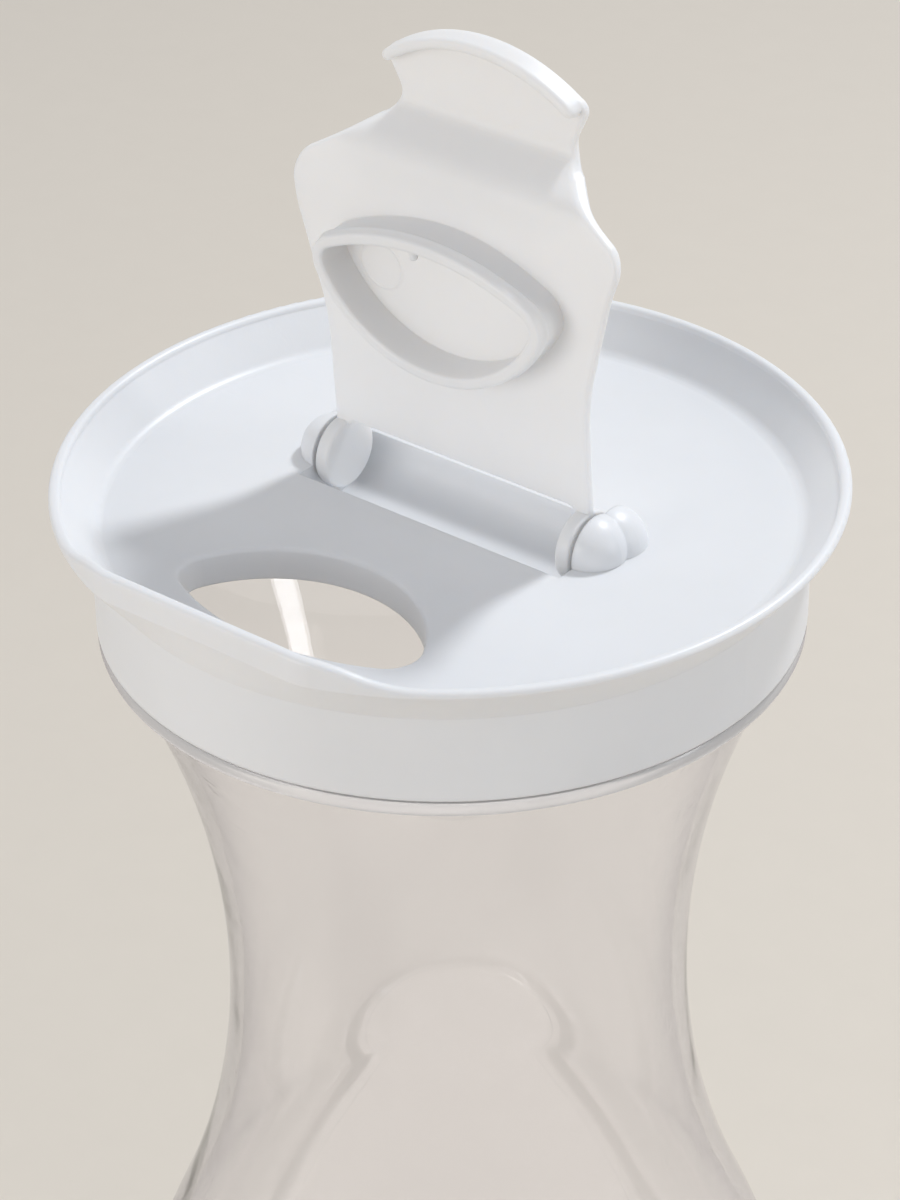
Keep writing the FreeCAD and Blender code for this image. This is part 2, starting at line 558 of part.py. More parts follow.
def make_flap():
    body = new_body("flap")
    thick = "sizes.plate_thickness"

    # side view: level plate, gentle lift, steep riser, level tab
    side = new_sketch(body, "flap_side", "YZ_Plane")
    draw_outline(side, [
        (0, 0),
        (0, thick),
        ("-sizes.lift_start + derived.lift_miter", thick),
        ("-derived.riser_start + derived.foot_miter_y", "sizes.foot_rise + derived.foot_miter_z"),
        ("-derived.riser_end + derived.head_miter", "derived.tab_rise + " + thick),
        ("-derived.tab_reach - sizes.overcut", "derived.tab_rise + " + thick),
        ("-derived.tab_reach - sizes.overcut", "derived.tab_rise"),
        ("-derived.riser_end", "derived.tab_rise"),
        ("-derived.riser_start", "sizes.foot_rise"),
        ("-sizes.lift_start", 0),
    ])
    extrude(body, "Pad", side, "2 * (derived.shoulder_half_width + sizes.overcut)", symmetric=True)

    def bends(*places):
        wanted = [(value(y), value(z)) for y, z in places]
        return lambda edge: edge.BoundBox.XLength > 1 and any(
            level(edge, z) and abs(edge.BoundBox.YMin - y) < 0.01 for y, z in wanted)

    round_edges(body, "lift_inner", "sizes.lift_round",
                bends(("-sizes.lift_start + derived.lift_miter", thick)))
    round_edges(body, "lift_outer", "sizes.lift_round + " + thick,
                bends(("-sizes.lift_start", "0")))
    round_edges(body, "foot_inner", "sizes.foot_round",
                bends(("-derived.riser_start + derived.foot_miter_y",
                       "sizes.foot_rise + derived.foot_miter_z")))
    round_edges(body, "foot_outer", "sizes.foot_round + " + thick,
                bends(("-derived.riser_start", "sizes.foot_rise")))
    round_edges(body, "head_inner", "sizes.head_round",
                bends(("-derived.riser_end", "derived.tab_rise")))
    round_edges(body, "head_outer", "sizes.head_round + " + thick,
                bends(("-derived.riser_end + derived.head_miter", "derived.tab_rise + " + thick)))

    # lip ridge under the tab, trimmed with it
    ridge = new_sketch(body, "ridge", "XY_Plane", "derived.tab_rise - sizes.ridge_depth")
    over = "(derived.tab_half_width + sizes.ridge_width)"
    inner_curve = "(derived.tab_end_curve - sizes.ridge_width)"
    outer_curve = "(derived.tab_end_curve + sizes.ridge_width)"
    inner_y = "derived.tab_end_centre - sqrt(%s^2 - %s^2)" % (inner_curve, over)
    outer_y = "derived.tab_end_centre - sqrt(%s^2 - %s^2)" % (outer_curve, over)
    draw_outline(ridge, [
        ("-" + over, inner_y),
        ("-" + over, outer_y, outer_curve, 1),
        (over, outer_y),
        (over, inner_y, inner_curve, -1),
    ])
    extrude(body, "Pad", ridge, "sizes.ridge_depth + sizes.plate_thickness / 2")

    # plan view
    plan = new_sketch(body, "flap_plan", "XY_Plane")
    right = [
        ("sizes.plate_half_width", "sizes.pin_radius"),
        ("sizes.plate_half_width", "-sizes.side_reach", "sizes.side_curve", 1),
        ("derived.side_end_x", "-derived.turn_end_reach"),
        ("derived.shoulder_half_width", "-sizes.shoulder_reach", "sizes.shoulder_curve", -1),
        ("derived.shoulder_end_half_width", "-derived.shoulder_end_reach"),
        ("derived.slant_half_width", "-derived.slant_reach", "sizes.waist_curve", 1),
        ("derived.waist_half_width", "-derived.waist_reach"),
        ("derived.tab_half_width", "-derived.tab_side_reach", "sizes.tab_corner", -1),
        ("derived.tab_end_half_width", "-derived.tab_end_reach", "derived.tab_end_curve", -1),
    ]
    draw_outline(plan, mirrored(right))
    around = "(derived.shoulder_half_width + 2 * sizes.overcut)"
    draw_box(plan, "-" + around, around, "-derived.tab_reach - 2 * sizes.overcut",
             "sizes.overcut")
    extrude(body, "Pocket", plan, "2 * (derived.tab_rise + sizes.overcut)", symmetric=True)

    # plug ring with its bead
    lip_height = "-sizes.ring_height"
    ring = new_sketch(body, "ring", "XY_Plane", lip_height)
    oval_outline(ring, "-sizes.ring_gap", "-derived.hole_reach")
    oval_outline(ring, "-sizes.ring_gap - sizes.ring_wall", "-derived.hole_reach")
    extrude(body, "Pad", ring, "sizes.ring_height + sizes.ring_root")
    bead = new_sketch(body, "bead", "XY_Plane", lip_height + " + sizes.bead_rise")
    oval_outline(bead, "sizes.bead_width - sizes.ring_gap", "-derived.hole_reach")
    oval_outline(bead, "-sizes.ring_gap - sizes.ring_wall / 2", "-derived.hole_reach")
    extrude(body, "Pad", bead, "sizes.bead_height")
    # hinge arms and pins
    discs = new_sketch(body, "discs", "YZ_Plane")
    draw_circle(discs, 0, 0, "sizes.disc_radius")
    extrude(body, "Pad", discs, "2 * sizes.plate_half_width", symmetric=True)
    pins = new_sketch(body, "pins", "YZ_Plane")
    draw_circle(pins, 0, 0, "sizes.pin_radius")
    extrude(body, "Pad", pins, "2 * sizes.pin_reach", symmetric=True)
    notch = new_sketch(body, "notch", "XY_Plane")
    draw_box(notch, "-sizes.notch_half_width", "sizes.notch_half_width",
             "-sizes.notch_reach", "sizes.disc_radius + sizes.overcut")
    extrude(body, "Pocket", notch, "2 * (sizes.disc_radius + sizes.overcut)", symmetric=True)
    notch_x, notch_y = value("sizes.notch_half_width"), value("-sizes.notch_reach")
    round_edges(body, "notch_corners", "sizes.notch_corner",
                lambda edge: abs(abs(edge.BoundBox.Center.x) - notch_x) < 0.01
                and abs(edge.BoundBox.Center.y - notch_y) < 0.01
                and edge.BoundBox.XLength < 0.01)
    body.setExpression("Placement.Base.y", "sizes.hinge_y")
    body.setExpression("Placement.Base.z", "derived.hinge_height")
    body.Placement.Rotation = Rotation(Vector(1, 0, 0), -1)
    body.setExpression("Placement.Rotation.Angle", "-sizes.open_angle")
    document.recompute()
    return body


parts = [make_carafe(), make_lid(), make_flap()]
document.recompute()
for item in document.Objects:
    if "Invalid" in item.State or "Error" in item.State:
        raise RuntimeError("failed: %s %s" % (item.Name, item.State))
os.makedirs("parts", exist_ok=True)
for part in parts:
    shape = part.Shape
    if shape.isNull() or not shape.isValid():
        raise RuntimeError("bad shape: " + part.Label)
    shape.exportStep("parts/%s.step" % part.Label)
    print(part.Label, len(shape.Solids), round(shape.Volume), shape.BoundBox)
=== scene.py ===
import math
import bmesh
import bpy
from mathutils import Matrix, Vector
from mathutils.geometry import delaunay_2d_cdt


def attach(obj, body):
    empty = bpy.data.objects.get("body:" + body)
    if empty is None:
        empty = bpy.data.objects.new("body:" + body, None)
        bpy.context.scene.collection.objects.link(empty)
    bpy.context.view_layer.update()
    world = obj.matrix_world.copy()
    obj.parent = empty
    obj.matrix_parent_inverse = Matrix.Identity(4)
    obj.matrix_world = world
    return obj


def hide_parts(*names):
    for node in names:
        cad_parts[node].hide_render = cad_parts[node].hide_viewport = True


# Clear carafe with a white flip-top lid. Dimensions are in millimetres, converted once per
# mesh; +Z is up, the lip pours towards -Y and the flap's hinge runs along X.

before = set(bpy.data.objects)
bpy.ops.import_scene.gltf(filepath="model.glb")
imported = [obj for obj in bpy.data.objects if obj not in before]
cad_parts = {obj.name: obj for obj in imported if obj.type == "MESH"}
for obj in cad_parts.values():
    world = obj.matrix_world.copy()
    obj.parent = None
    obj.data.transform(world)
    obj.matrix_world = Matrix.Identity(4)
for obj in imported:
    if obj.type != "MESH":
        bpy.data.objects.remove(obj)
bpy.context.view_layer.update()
mm = 0.001
print("frame loaded")


# ---- small helpers: outlines and meshes

def outlinePoints(corners, step):
    points = []
    for corner, following in zip(corners, corners[1:] + corners[:1]):
        start, stop = Vector(corner[:2]), Vector(following[:2])
        points.append(start)
        if len(corner) == 2:
            continue
        radius, side = corner[2:]
        chord = stop - start
        left = Vector((-chord.y, chord.x)).normalized() * side
        half = chord.length / 2
        centre = (start + stop) / 2 + left * math.sqrt(max(radius ** 2 - half ** 2, 0))
        first = math.atan2(start.y - centre.y, start.x - centre.x)
        sweep = 2 * math.asin(min(1, half / radius)) * side
        count = max(2, math.ceil(abs(sweep) * radius / step))
        for number in range(1, count):
            angle = first + sweep * number / count
            points.append(centre + Vector((math.cos(angle), math.sin(angle))) * radius)
    return points


def grown(points, distance):
    moved = []
    for before, here, after in zip(points[-1:] + points[:-1], points, points[1:] + points[:1]):
        one, two = (here - before).normalized(), (after - here).normalized()
        out = Vector((one.y + two.y, -one.x - two.x)).normalized()
        share = max(0.5, out.dot(Vector((one.y, -one.x))))
        moved.append(here + out * distance / share)
    return moved


def meshObject(name, mesh, material=None):
    thing = bpy.data.objects.new(name, mesh)
    bpy.context.scene.collection.objects.link(thing)
    if material:
        mesh.materials.clear()
        mesh.materials.append(material)
    return thing


def turnedToMesh(thing, name=None):
    graph = bpy.context.evaluated_depsgraph_get()
    graph.update()
    mesh = bpy.data.meshes.new_from_object(thing.evaluated_get(graph))
    thing.modifiers.clear()
    thing.data = mesh
    if name:
        thing.name = name
    return thing


def closedUp(thing, distance=0.004):
    work = bmesh.new()
    work.from_mesh(thing.data)
    bmesh.ops.remove_doubles(work, verts=work.verts, dist=distance * mm)
    bmesh.ops.dissolve_degenerate(work, edges=work.edges, dist=distance * mm)
    bmesh.ops.recalc_face_normals(work, faces=work.faces)
    if work.calc_volume(signed=True) < 0:
        bmesh.ops.reverse_faces(work, faces=work.faces)
    work.to_mesh(thing.data)
    work.free()
    return thing


def united(base, others):
    for other in others:
        cut = base.modifiers.new("join", "BOOLEAN")
        cut.operation = "UNION"
        cut.solver = "EXACT"
        cut.object = other
        turnedToMesh(base)
        bpy.data.objects.remove(other)
    return base


def volumeOf(thing):
    work = bmesh.new()
    work.from_mesh(thing.data)
    size = work.calc_volume(signed=True) / mm ** 3
    work.free()
    return round(size, 1)


def softShaded(thing, angle=40):
    for face in thing.data.polygons:
        face.use_smooth = True
    thing.data.set_sharp_from_angle(angle=math.radians(angle))
    even = thing.modifiers.new("even shading", "WEIGHTED_NORMAL")
    even.keep_sharp = True
    even.weight = 80
    return thing


# ---- a profile led along a path, as Geometry Nodes

def buildBandTree():
    tree = bpy.data.node_groups.new("profile along path", "GeometryNodeTree")
    face = tree.interface
    face.new_socket("Geometry", in_out="INPUT", socket_type="NodeSocketGeometry")
    face.new_socket("Path", in_out="INPUT", socket_type="NodeSocketObject")
    face.new_socket("Weld", in_out="INPUT", socket_type="NodeSocketFloat")
    face.new_socket("Material", in_out="INPUT", socket_type="NodeSocketMaterial")
    face.new_socket("Geometry", in_out="OUTPUT", socket_type="NodeSocketGeometry")
    nodes, link = tree.nodes, tree.links.new
    start = nodes.new("NodeGroupInput")
    end = nodes.new("NodeGroupOutput")
    path = nodes.new("GeometryNodeObjectInfo")
    link(start.outputs["Path"], path.inputs["Object"])

    def count(geometry):
        size = nodes.new("GeometryNodeAttributeDomainSize")
        link(geometry, size.inputs["Geometry"])
        return size.outputs["Point Count"]

    def sampled(geometry, value, index, kind="FLOAT_VECTOR"):
        sample = nodes.new("GeometryNodeSampleIndex")
        sample.data_type = kind
        link(geometry, sample.inputs["Geometry"])
        link(value, sample.inputs["Value"])
        link(index, sample.inputs["Index"])
        return sample.outputs["Value"]

    def named(name, kind):
        attribute = nodes.new("GeometryNodeInputNamedAttribute")
        attribute.data_type = kind
        attribute.inputs["Name"].default_value = name
        return attribute.outputs["Attribute"]

    def maths(operation, one, two):
        node = nodes.new("ShaderNodeMath")
        node.operation = operation
        link(one, node.inputs[0])
        if isinstance(two, (int, float)):
            node.inputs[1].default_value = two
        else:
            link(two, node.inputs[1])
        return node.outputs[0]

    profileCount = count(start.outputs["Geometry"])
    pathCount = count(path.outputs["Geometry"])
    grid = nodes.new("GeometryNodeMeshGrid")
    link(profileCount, grid.inputs["Vertices X"])
    link(pathCount, grid.inputs["Vertices Y"])
    index = nodes.new("GeometryNodeInputIndex").outputs["Index"]
    row = maths("FLOOR", maths("DIVIDE", maths("ADD", index, 0.5), pathCount), 0)
    column = maths("SUBTRACT", index, maths("MULTIPLY", row, pathCount))
    position = nodes.new("GeometryNodeInputPosition").outputs["Position"]
    profile = sampled(start.outputs["Geometry"], position, row)
    place = sampled(path.outputs["Geometry"], position, column)
    outward = sampled(path.outputs["Geometry"], named("outward", "FLOAT_VECTOR"), column)
    fullness = sampled(path.outputs["Geometry"], named("fullness", "FLOAT"), column, "FLOAT")
    apart = nodes.new("ShaderNodeSeparateXYZ")
    link(profile, apart.inputs[0])
    across = nodes.new("ShaderNodeVectorMath")
    across.operation = "SCALE"
    link(outward, across.inputs[0])
    link(maths("MULTIPLY", apart.outputs["X"], fullness), across.inputs["Scale"])
    rise = nodes.new("ShaderNodeCombineXYZ")
    link(maths("MULTIPLY", apart.outputs["Z"], fullness), rise.inputs["Z"])
    added = nodes.new("ShaderNodeVectorMath")
    added.operation = "ADD"
    link(place, added.inputs[0])
    link(across.outputs[0], added.inputs[1])
    total = nodes.new("ShaderNodeVectorMath")
    total.operation = "ADD"
    link(added.outputs[0], total.inputs[0])
    link(rise.outputs[0], total.inputs[1])
    shaped = nodes.new("GeometryNodeSetPosition")
    link(grid.outputs["Mesh"], shaped.inputs["Geometry"])
    link(total.outputs[0], shaped.inputs["Position"])
    weld = nodes.new("GeometryNodeMergeByDistance")
    link(shaped.outputs[0], weld.inputs["Geometry"])
    link(start.outputs["Weld"], weld.inputs["Distance"])
    real = nodes.new("GeometryNodeRealizeInstances")
    link(weld.outputs[0], real.inputs["Geometry"])
    finish = nodes.new("GeometryNodeSetMaterial")
    link(real.outputs[0], finish.inputs["Geometry"])
    link(start.outputs["Material"], finish.inputs["Material"])
    link(finish.outputs[0], end.inputs[0])
    return tree


bandTree = buildBandTree()


def pathObject(name, points, outward, fullness):
    mesh = bpy.data.meshes.new(name)
    mesh.from_pydata([Vector(point) * mm for point in points], [], [])
    out = mesh.attributes.new("outward", "FLOAT_VECTOR", "POINT")
    out.data.foreach_set("vector", [value for way in outward for value in way])
    full = mesh.attributes.new("fullness", "FLOAT", "POINT")
    full.data.foreach_set("value", fullness)
    return meshObject(name, mesh)


def led(name, profile, path, material):
    mesh = bpy.data.meshes.new(name)
    mesh.from_pydata([(x * mm, 0, z * mm) for x, z in profile], [], [])
    band = meshObject(name, mesh)
    lead = band.modifiers.new("lead", "NODES")
    lead.node_group = bandTree
    sockets = {item.name: item.identifier for item in bandTree.interface.items_tree
               if item.in_out == "INPUT"}
    lead[sockets["Path"]] = path
    lead[sockets["Weld"]] = 0.003 * mm
    lead[sockets["Material"]] = material
    turnedToMesh(band)
    closedUp(band)
    bpy.data.objects.remove(path)
    return band


# ---- shader groups used by all three plastics

def groupWith(name, inputs, outputs):
    tree = bpy.data.node_groups.new(name, "ShaderNodeTree")
    for socketName, kind, value in inputs:
        socket = tree.interface.new_socket(socketName, in_out="INPUT", socket_type=kind)
        if value is not None:
            socket.default_value = value
    for socketName, kind in outputs:
        tree.interface.new_socket(socketName, in_out="OUTPUT", socket_type=kind)
    return tree, tree.nodes.new("NodeGroupInput"), tree.nodes.new("NodeGroupOutput")


def shaderMaths(tree, operation, one, two=None, three=None):
    node = tree.nodes.new("ShaderNodeMath")
    node.operation = operation
    for number, value in enumerate((one, two, three)):
        if value is None:
            continue
        if isinstance(value, (int, float)):
            node.inputs[number].default_value = value
        else:
            tree.links.new(value, node.inputs[number])
    return node.outputs[0]


def noise(tree, vector, scale, detail, roughness=0.5, stretch=None):
    if stretch:
        squeeze = tree.nodes.new("ShaderNodeMapping")
        squeeze.inputs["Scale"].default_value = stretch
        tree.links.new(vector, squeeze.inputs["Vector"])
        vector = squeeze.outputs[0]
    node = tree.nodes.new("ShaderNodeTexNoise")
    node.inputs["Scale"].default_value = scale
    node.inputs["Detail"].default_value = detail
    node.inputs["Roughness"].default_value = roughness
    tree.links.new(vector, node.inputs["Vector"])
    return node.outputs[0]


def remapped(tree, value, low, high, newLow, newHigh, smooth=False):
    node = tree.nodes.new("ShaderNodeMapRange")
    node.interpolation_type = "SMOOTHSTEP" if smooth else "LINEAR"
    tree.links.new(value, node.inputs["Value"])
    for name, number in (("From Min", low), ("From Max", high), ("To Min", newLow), ("To Max", newHigh)):
        node.inputs[name].default_value = number
    return node.outputs[0]


def buildMouldSkin():
    # fine grain, slow unevenness and hairline scuffs of a moulded surface
    tree, start, end = groupWith(
        "moulded skin",
        [("Vector", "NodeSocketVector", None), ("Grain", "NodeSocketFloat", 1.0),
         ("Waves", "NodeSocketFloat", 1.0), ("Scuffs", "NodeSocketFloat", 1.0)],
        [("Height", "NodeSocketFloat"), ("Mottle", "NodeSocketFloat"), ("Scuff", "NodeSocketFloat")])
    vector = start.outputs["Vector"]
    grain = noise(tree, vector, 2600, 3, 0.6)
    waves = noise(tree, vector, 55, 2, 0.4)
    lines = noise(tree, vector, 900, 2, 0.7, (0.06, 0.9, 0.5))
    scuff = remapped(tree, lines, 0.64, 0.72, 0, 1, True)
    mottle = noise(tree, vector, 28, 4, 0.55)
    height = shaderMaths(tree, "MULTIPLY", grain, start.outputs["Grain"])
    height = shaderMaths(tree, "MULTIPLY_ADD", waves, start.outputs["Waves"], height)
    scuffed = shaderMaths(tree, "MULTIPLY", scuff, start.outputs["Scuffs"])
    height = shaderMaths(tree, "SUBTRACT", height, scuffed)
    tree.links.new(height, end.inputs["Height"])
    tree.links.new(mottle, end.inputs["Mottle"])
    tree.links.new(scuffed, end.inputs["Scuff"])
    return tree


def buildRoundMark():
    # the faint ring that a mould's pin or gate leaves
    tree, start, end = groupWith(
        "round mould mark",
        [("Vector", "NodeSocketVector", None), ("Centre", "NodeSocketVector", None),
         ("Radius", "NodeSocketFloat", 0.003), ("Width", "NodeSocketFloat", 0.0004)],
        [("Ring", "NodeSocketFloat"), ("Inside", "NodeSocketFloat")])
    gap = tree.nodes.new("ShaderNodeVectorMath")
    gap.operation = "DISTANCE"
    tree.links.new(start.outputs["Vector"], gap.inputs[0])
    tree.links.new(start.outputs["Centre"], gap.inputs[1])
    off = shaderMaths(tree, "SUBTRACT", gap.outputs["Value"], start.outputs["Radius"])
    near = shaderMaths(tree, "DIVIDE", shaderMaths(tree, "ABSOLUTE", off), start.outputs["Width"])
    ring = remapped(tree, near, 0, 1, 1, 0, True)
    inside = remapped(tree, shaderMaths(tree, "DIVIDE", off, start.outputs["Width"]), -1, 0, 1, 0, True)
    tree.links.new(ring, end.inputs["Ring"])
    tree.links.new(inside, end.inputs["Inside"])
    return tree


mouldSkin = buildMouldSkin()
roundMark = buildRoundMark()


def placed(tree, group, vector, **values):
    node = tree.nodes.new("ShaderNodeGroup")
    node.node_tree = group
    tree.links.new(vector, node.inputs["Vector"])
    for name, value in values.items():
        node.inputs[name].default_value = value
    return node


def newMaterial(name):
    material = bpy.data.materials.new(name)
    material.use_nodes = True
    tree = material.node_tree
    tree.nodes.clear()
    output = tree.nodes.new("ShaderNodeOutputMaterial")
    shader = tree.nodes.new("ShaderNodeBsdfPrincipled")
    tree.links.new(shader.outputs[0], output.inputs["Surface"])
    place = tree.nodes.new("ShaderNodeTexCoord").outputs["Object"]
    return material, tree, shader, output, place


def colourBetween(tree, factor, one, two):
    mix = tree.nodes.new("ShaderNodeMix")
    mix.data_type = "RGBA"
    tree.links.new(factor, mix.inputs["Factor"])
    mix.inputs["A"].default_value = (*one, 1)
    mix.inputs["B"].default_value = (*two, 1)
    return mix.outputs["Result"]


def whitePlastic(name, look, marks):
    material, tree, shader, output, place = newMaterial(name)
    skin = placed(tree, mouldSkin, place, Grain=look["grain"], Waves=look["waves"], Scuffs=look["scuffs"])
    mottle = remapped(tree, skin.outputs["Mottle"], 0.35, 0.65, 0, 1, True)
    tree.links.new(colourBetween(tree, mottle, look["colour"], look["shade"]), shader.inputs["Base Color"])
    rough = remapped(tree, skin.outputs["Mottle"], 0.3, 0.7, look["rough"] - 0.04, look["rough"] + 0.05)
    rough = shaderMaths(tree, "MULTIPLY_ADD", skin.outputs["Scuff"], 0.12, rough)
    tree.links.new(rough, shader.inputs["Roughness"])
    height = skin.outputs["Height"]
    for centre, radius, width, depth in marks:
        mark = placed(tree, roundMark, place, Radius=radius * mm, Width=width * mm)
        mark.inputs["Centre"].default_value = Vector(centre) * mm
        height = shaderMaths(tree, "MULTIPLY_ADD", mark.outputs["Ring"], depth, height)
    soft = tree.nodes.new("ShaderNodeBevel")
    soft.samples = 6
    soft.inputs["Radius"].default_value = look["edge"] * mm
    bump = tree.nodes.new("ShaderNodeBump")
    bump.inputs["Distance"].default_value = 0.05 * mm
    bump.inputs["Strength"].default_value = 0.6
    tree.links.new(height, bump.inputs["Height"])
    tree.links.new(soft.outputs[0], bump.inputs["Normal"])
    tree.links.new(bump.outputs[0], shader.inputs["Normal"])
    shader.inputs["Subsurface Weight"].default_value = look["glow"]
    shader.inputs["Subsurface Radius"].default_value = (1.0, 0.9, 0.8)
    shader.inputs["Subsurface Scale"].default_value = look["depth"] * mm
    shader.inputs["IOR"].default_value = 1.49
    return material


def clearPlastic(name, look):
    material, tree, shader, output, place = newMaterial(name)
    skin = placed(tree, mouldSkin, place, Grain=0.0, Waves=look["waves"], Scuffs=look["scuffs"])
    # base colour turns dark violet towards grazing angles: partly the plastic's own violet tint, partly painted shade
    # standing in for the dark refractions and reflections along the wall's edges
    slant = tree.nodes.new("ShaderNodeLayerWeight")
    slant.inputs["Blend"].default_value = look["edgeBlend"]
    edgeTintAndShadeAmount = remapped(tree, slant.outputs["Facing"], look["edgeFrom"], 1, 0, 1, True)
    tree.links.new(colourBetween(tree, edgeTintAndShadeAmount, look["colour"], look["edgeTintAndPaintedShade"]), shader.inputs["Base Color"])
    shader.inputs["IOR"].default_value = look["ior"]
    apart = tree.nodes.new("ShaderNodeSeparateXYZ")
    tree.links.new(place, apart.inputs[0])
    clear = remapped(tree, apart.outputs["Z"], look["milkFrom"] * mm, look["milkTo"] * mm, 1, look["milkClear"], True)
    tree.links.new(clear, shader.inputs["Transmission Weight"])
    rough = remapped(tree, skin.outputs["Scuff"], 0, 1, look["rough"], look["rough"] + 0.08)
    rough = shaderMaths(tree, "ADD", rough, remapped(tree, clear, look["milkClear"], 1, look["milkRough"], 0))
    tree.links.new(rough, shader.inputs["Roughness"])
    flow = noise(tree, place, 34, 2, 0.4, (1, 1, 0.22))
    seamWay = math.radians(look["seamAngle"])
    seam = shaderMaths(tree, "MULTIPLY", apart.outputs["X"], -math.sin(seamWay))
    seam = shaderMaths(tree, "MULTIPLY_ADD", apart.outputs["Y"], math.cos(seamWay), seam)
    seam = remapped(tree, shaderMaths(tree, "ABSOLUTE", seam), 0, look["seamWidth"] * mm, 1, 0, True)
    height = shaderMaths(tree, "MULTIPLY_ADD", flow, look["flow"], skin.outputs["Height"])
    height = shaderMaths(tree, "MULTIPLY_ADD", seam, look["seam"], height)
    bump = tree.nodes.new("ShaderNodeBump")
    bump.inputs["Distance"].default_value = 0.1 * mm
    tree.links.new(height, bump.inputs["Height"])
    tree.links.new(bump.outputs[0], shader.inputs["Normal"])
    through = tree.nodes.new("ShaderNodeBsdfTransparent")
    through.inputs["Color"].default_value = (*look["shadow"], 1)
    light = tree.nodes.new("ShaderNodeLightPath")
    mix = tree.nodes.new("ShaderNodeMixShader")
    tree.links.new(light.outputs["Is Shadow Ray"], mix.inputs[0])
    tree.links.new(shader.outputs[0], mix.inputs[1])
    tree.links.new(through.outputs[0], mix.inputs[2])
    tree.links.new(mix.outputs[0], output.inputs["Surface"])
    depth = tree.nodes.new("ShaderNodeVolumeAbsorption")
    depth.inputs["Color"].default_value = (*look["depthColour"], 1)
    depth.inputs["Density"].default_value = look["density"]
    tree.links.new(depth.outputs[0], output.inputs["Volume"])
    return material


lidLook = dict(colour=(0.80, 0.81, 0.825), shade=(0.775, 0.785, 0.80), rough=0.36, grain=0.25, waves=0.9,
               scuffs=0.15, edge=0.35, glow=0.35, depth=1.6)
flapLook = dict(colour=(0.81, 0.81, 0.81), shade=(0.785, 0.785, 0.785), rough=0.4, grain=0.25, waves=0.9,
                scuffs=0.1, edge=0.3, glow=0.7, depth=3.0)
# the dark violet edge colour is partly the plastic's own tint and partly painted shade for dark refractions and
# reflections at grazing angles
carafeLook = dict(colour=(0.995, 0.99, 1.0), edgeTintAndPaintedShade=(0.40, 0.37, 0.47), edgeBlend=0.35, edgeFrom=0.45,
                  ior=1.56, rough=0.015, waves=0.5, scuffs=0.03, flow=2.6, seamAngle=-47, seamWidth=0.6, seam=0.3,
                  milkFrom=229.6, milkTo=230.3, milkClear=0.45, milkRough=0.15, shadow=(0.94, 0.94, 0.945),
                  depthColour=(0.60, 0.58, 0.62), density=30)

# gate mark on the skirt; pin marks inside the plug ring
lidPlastic = whitePlastic("lid plastic", lidLook, [((49.3, -6.3, 243.9), 1.1, 0.4, 4.0)])
flapPlastic = whitePlastic("flap plastic", flapLook, [((-10.9, 0.38, 278.4), 3.3, 0.35, 3.0)])
carafePlastic = clearPlastic("carafe plastic", carafeLook)
print("materials made")


# ---- carafe: one turned profile

carafe = dict(
    bodyRadius=57.5, widestHeight=51, footRadius=55.5, footCorner=5, base=3, recess=3, recessRadius=40,
    recessSlope=4, neckRadius=32.1, neckHeight=175, neckCurve=125, wall=2, height=244.3, mouthRound=0.7,
    ledgeTop=232.5, ledgeBottom=230.3, ledgeRadius=46.9, finishRadius=44.9, edge=0.6, turns=256, step=1.7)


def carafeProfile(c):
    neckCentre = c["neckRadius"] + c["neckCurve"]
    offset, drop = neckCentre - c["bodyRadius"], c["neckHeight"] - c["widestHeight"]
    shoulder = (offset ** 2 + drop ** 2 - c["neckCurve"] ** 2) / (2 * (c["neckCurve"] - offset))
    share = c["neckCurve"] / (c["neckCurve"] + shoulder)
    innerShare = (c["neckCurve"] + c["wall"]) / (c["neckCurve"] + shoulder)
    side = c["bodyRadius"] - c["footRadius"]
    lower = ((c["widestHeight"] - c["footCorner"]) ** 2 + side ** 2) / (2 * side)
    corner = c["footCorner"] - c["wall"]
    innerLower = ((c["widestHeight"] - c["base"] - corner) ** 2 + side ** 2) / (2 * side)
    flare = neckCentre - math.sqrt(c["neckCurve"] ** 2 - (c["ledgeBottom"] - c["neckHeight"]) ** 2)
    bore = c["finishRadius"] - c["wall"]
    boreEnd = c["neckHeight"] + math.sqrt((c["neckCurve"] + c["wall"]) ** 2 - (neckCentre - bore) ** 2)
    edge, mouth = c["edge"], c["mouthRound"]
    return outlinePoints([
        (0, c["recess"]), (c["recessRadius"], c["recess"]), (c["recessRadius"] + c["recessSlope"], 0),
        (c["footRadius"] - c["footCorner"], 0, c["footCorner"], 1),
        (c["footRadius"], c["footCorner"], lower, 1),
        (c["bodyRadius"], c["widestHeight"], shoulder, 1),
        (neckCentre - share * (offset + shoulder), c["neckHeight"] - share * drop, c["neckCurve"], -1),
        (flare, c["ledgeBottom"]), (c["ledgeRadius"] - edge, c["ledgeBottom"], edge, 1),
        (c["ledgeRadius"], c["ledgeBottom"] + edge), (c["ledgeRadius"], c["ledgeTop"] - edge, edge, 1),
        (c["ledgeRadius"] - edge, c["ledgeTop"]), (c["finishRadius"], c["ledgeTop"]),
        (c["finishRadius"], c["height"] - mouth, mouth, 1), (c["finishRadius"] - mouth, c["height"]),
        (bore + mouth, c["height"], mouth, 1), (bore, c["height"] - mouth),
        (bore, boreEnd, c["neckCurve"] + c["wall"], 1),
        (neckCentre - innerShare * (offset + shoulder), c["neckHeight"] - innerShare * drop,
         shoulder - c["wall"], -1),
        (c["bodyRadius"] - c["wall"], c["widestHeight"], innerLower, -1),
        (c["footRadius"] - c["wall"], c["base"] + corner, corner, -1),
        (c["footRadius"] - c["footCorner"], c["base"]), (c["recessRadius"] + c["recessSlope"], c["base"]),
        (c["recessRadius"], c["base"] + c["recess"]), (0, c["base"] + c["recess"])], c["step"])


